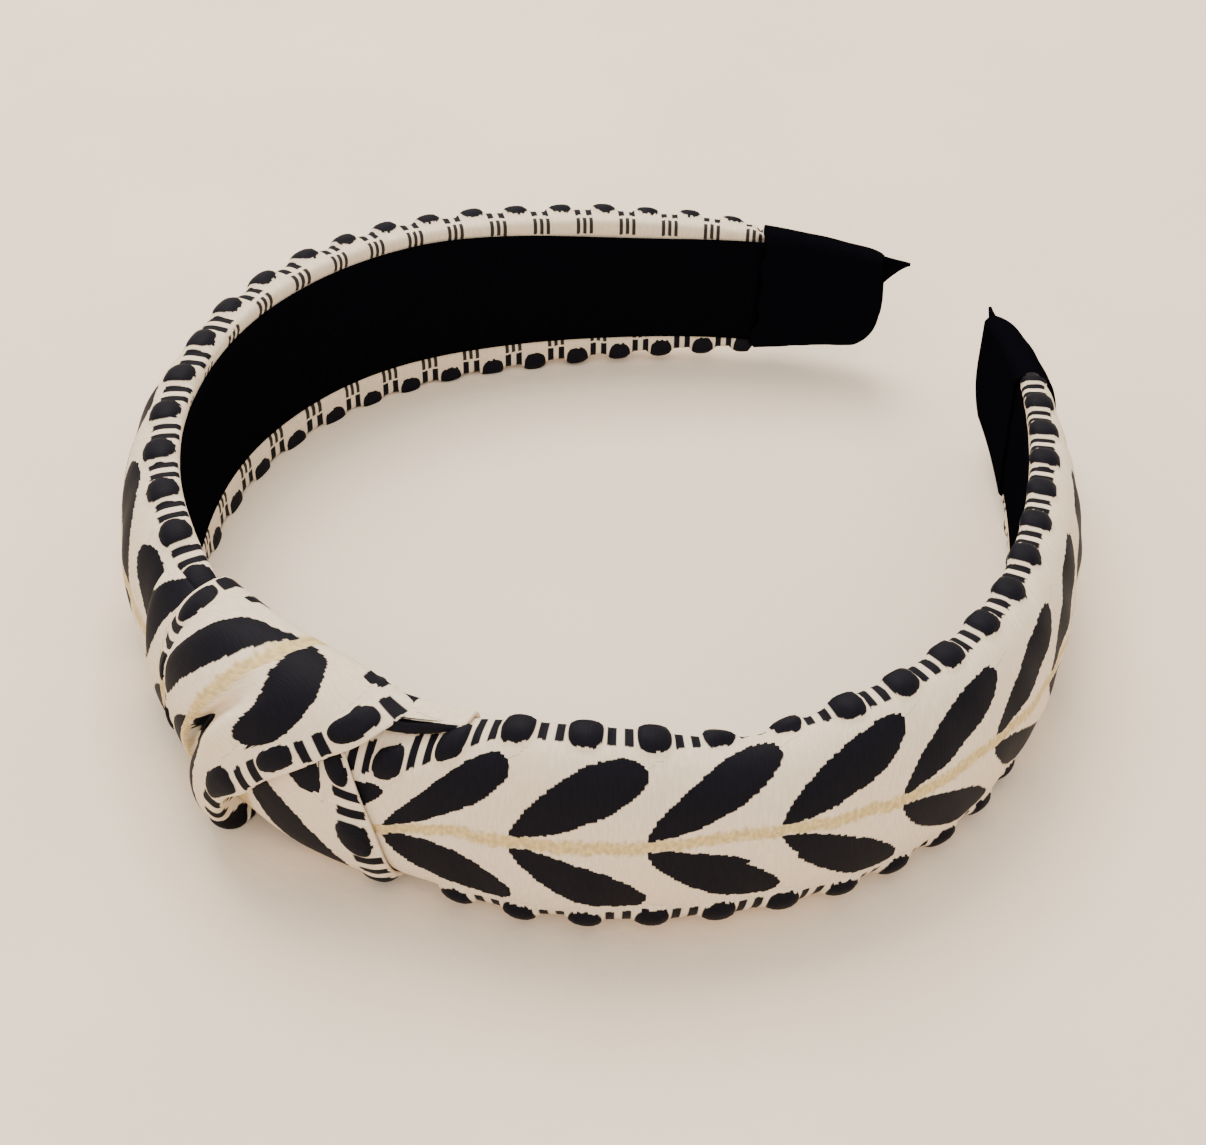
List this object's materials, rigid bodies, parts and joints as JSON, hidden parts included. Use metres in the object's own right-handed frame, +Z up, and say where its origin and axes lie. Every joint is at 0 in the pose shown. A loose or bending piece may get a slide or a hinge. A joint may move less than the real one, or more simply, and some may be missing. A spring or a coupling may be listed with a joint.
{
  "type": "knotted headband",
  "caption": "C-shaped springy hair band with a padded woven cover, black lining, capped tips and a two-strand knot at the crown.",
  "frame": {"origin": "middle of the underside of the whole band's box, as it lies on its lower edge", "axes": "+Z up, across the band's height; +Y from the knot at the crown to the gap between the tips; +X to the wearer's one side, the hoop being symmetric about X = 0"},
  "size_m": [0.1456, 0.1518, 0.0305],
  "materials": {
    "core_plastic": "matte",
    "padding_foam": "matte",
    "woven_cover": "ribbed jacquard weave with leaves and a bar border",
    "lining_ribbon": "matte grosgrain",
    "cap_ribbon": "soft satin"
  },
  "bodies": {
    "crown": {"core_crown": "core_plastic", "foam_crown": "padding_foam", "cover_root_right": "woven_cover", "cover_root_left": "woven_cover", "lining_crown": "lining_ribbon", "knot_under_strand": "woven_cover", "knot_left_gather": "woven_cover", "knot_over_wrap": "woven_cover", "knot_top_fold": "woven_cover"},
    "arm_right": {"core_right": "core_plastic", "foam_right": "padding_foam", "cover_right": "woven_cover", "lining_right": "lining_ribbon", "cap_right": "cap_ribbon", "cap_corner_right": "cap_ribbon"},
    "arm_left": {"core_left": "core_plastic", "foam_left": "padding_foam", "cover_left": "woven_cover", "lining_left": "lining_ribbon", "cap_left": "cap_ribbon", "cap_corner_left": "cap_ribbon"}
  },
  "joints": [
    {"name": "arm_right_flex", "type": "hinge", "parent": "crown", "child": "arm_right", "pos_m": [0.03773, -0.06134, 0.01525], "axis": [0, 0, -1], "range_deg": [-2, 15], "stiffness_Nm_per_rad": 1},
    {"name": "arm_left_flex", "type": "hinge", "parent": "crown", "child": "arm_left", "pos_m": [-0.03773, -0.06134, 0.01525], "axis": [0, 0, 1], "range_deg": [-2, 15], "stiffness_Nm_per_rad": 1}
  ]
}
